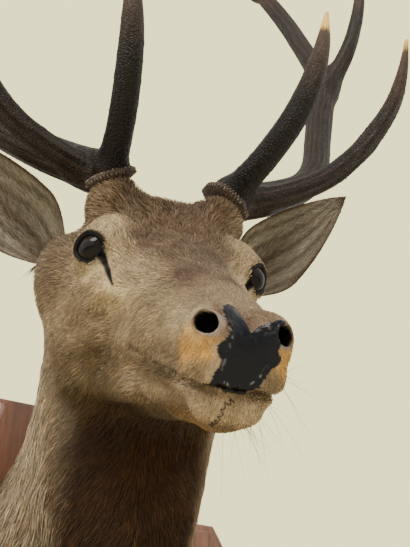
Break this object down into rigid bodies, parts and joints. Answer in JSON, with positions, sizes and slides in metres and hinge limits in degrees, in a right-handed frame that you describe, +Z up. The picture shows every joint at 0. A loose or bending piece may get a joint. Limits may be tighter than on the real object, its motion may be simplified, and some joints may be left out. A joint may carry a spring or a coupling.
{
  "type": "red deer stag head mount",
  "caption": "Taxidermy head and neck of a red deer stag with branched antlers, on a wooden shield board that hangs on a wall.",
  "frame": {"origin": "middle of the board's flat back face, on the wall", "axes": "+Y into the wall, so the stag looks towards -Y; +X to the stag's left; +Z up"},
  "size_m": [0.5717, 0.5627, 1.415],
  "materials": {
    "coat": "short brown and grey deer hair over skin, black painted nose",
    "eye_glass": "dark brown glass eye, polished",
    "antler": "bone: dark brown, grooved and pearled, with ivory tips",
    "mahogany": "polished mahogany with a moulded edge"
  },
  "bodies": {
    "root": {"board": "mahogany", "neck": "coat", "head": "coat", "ear_left": "coat", "eye_left": "eye_glass", "burr_left": "antler", "beam_lower_left": "antler", "brow_tine_left": "antler", "bez_tine_left": "antler", "trez_tine_left": "antler", "beam_upper_left": "antler", "crown_tine_left": "antler", "ear_right": "coat", "eye_right": "eye_glass", "burr_right": "antler", "beam_lower_right": "antler", "brow_tine_right": "antler", "bez_tine_right": "antler", "trez_tine_right": "antler", "beam_upper_right": "antler", "crown_tine_right": "antler"}
  },
  "joints": []
}
